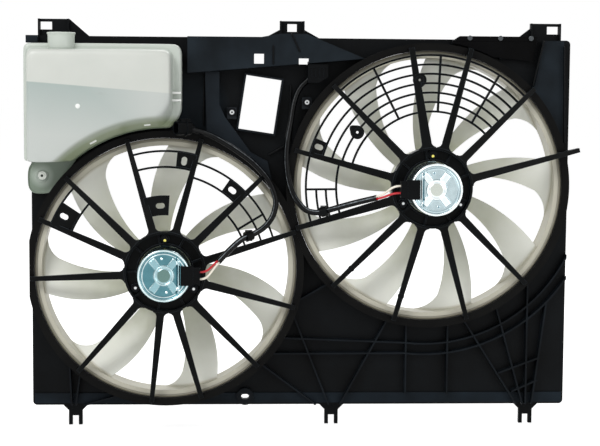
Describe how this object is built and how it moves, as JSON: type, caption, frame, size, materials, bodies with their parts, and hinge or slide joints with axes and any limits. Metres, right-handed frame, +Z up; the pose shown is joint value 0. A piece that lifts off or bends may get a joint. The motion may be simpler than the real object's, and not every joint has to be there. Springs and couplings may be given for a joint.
{
  "type": "radiator fan assembly",
  "caption": "Dual radiator fan assembly: a black moulded shroud with ringed fans, motors on spoked stays, a milky coolant reservoir, a rubber air flap and motor leads.",
  "frame": {"origin": "middle of the shroud's open radiator side, in the plane of its rim", "axes": "+X across the radiator to the right as the engine side is seen, +Y from the engine to the radiator, +Z up"},
  "size_m": [0.7649, 0.146, 0.5715],
  "materials": {
    "shroud_plastic": "moulded black, satin",
    "stay_plastic": "moulded black, satin",
    "fan_plastic": "moulded natural off-white",
    "tank_plastic": "blow-moulded milky white",
    "zinc_steel": "zinc plated, bluish",
    "screw_steel": "zinc plated",
    "shaft_steel": "ground",
    "core_steel": "varnished laminations",
    "ferrite": "sintered",
    "insulator": "moulded phenolic",
    "carbon": "pressed carbon",
    "bronze": "sintered bronze",
    "copper": "turned copper",
    "flap_rubber": "sheet rubber",
    "pin_plastic": "moulded grey",
    "woven_sleeve": "woven black sleeve",
    "clip_plastic": "moulded black",
    "plug_plastic": "moulded black",
    "red_wire": "insulated wire, red",
    "white_wire": "insulated wire, white"
  },
  "bodies": {
    "shroud": {"clip_nuts": "screw_steel", "flap_pins": "pin_plastic", "flap_strip": "flap_rubber", "left_brush_holder": "insulator", "left_front_bearing": "bronze", "left_motor_brushes": "carbon", "left_motor_can": "zinc_steel", "left_motor_connector": "plug_plastic", "left_motor_end_cap": "zinc_steel", "left_motor_magnets": "ferrite", "left_motor_screws": "screw_steel", "left_opening_ring": "shroud_plastic", "left_plug": "plug_plastic", "left_rear_bearing": "bronze", "left_red_wire": "red_wire", "left_sleeve": "woven_sleeve", "left_sleeve_clip": "clip_plastic", "left_stay": "stay_plastic", "left_white_wire": "white_wire", "module_screws": "screw_steel", "plug_bracket": "clip_plastic", "reservoir_tank": "tank_plastic", "right_brush_holder": "insulator", "right_front_bearing": "bronze", "right_motor_brushes": "carbon", "right_motor_can": "zinc_steel", "right_motor_connector": "plug_plastic", "right_motor_end_cap": "zinc_steel", "right_motor_magnets": "ferrite", "right_motor_screws": "screw_steel", "right_opening_ring": "shroud_plastic", "right_plug": "plug_plastic", "right_rear_bearing": "bronze", "right_red_wire": "red_wire", "right_sleeve": "woven_sleeve", "right_sleeve_clip": "clip_plastic", "right_stay": "stay_plastic", "right_white_wire": "white_wire", "shroud_panel": "shroud_plastic", "tank_screw": "screw_steel"},
    "left_rotor": {"left_fan": "fan_plastic", "left_fan_nut": "screw_steel", "left_motor_shaft": "shaft_steel", "left_armature": "core_steel", "left_commutator": "copper"},
    "right_rotor": {"right_fan": "fan_plastic", "right_fan_nut": "screw_steel", "right_motor_shaft": "shaft_steel", "right_armature": "core_steel", "right_commutator": "copper"},
    "air_flap": {"rubber_flap": "flap_rubber"}
  },
  "joints": [
    {"name": "left_fan_spin", "type": "hinge", "parent": "shroud", "child": "left_rotor", "pos_m": [-0.18901, -0.06, -0.062], "axis": [0, 1, 0], "continuous": true},
    {"name": "right_fan_spin", "type": "hinge", "parent": "shroud", "child": "right_rotor", "pos_m": [0.17401, -0.06, 0.054], "axis": [0, 1, 0], "continuous": true},
    {"name": "flap_swing", "type": "hinge", "parent": "shroud", "child": "air_flap", "pos_m": [0.26401, -0.04, 0.2552], "axis": [-1, 0, 0], "range_deg": [0, 40], "stiffness_Nm_per_rad": 0.01}
  ]
}
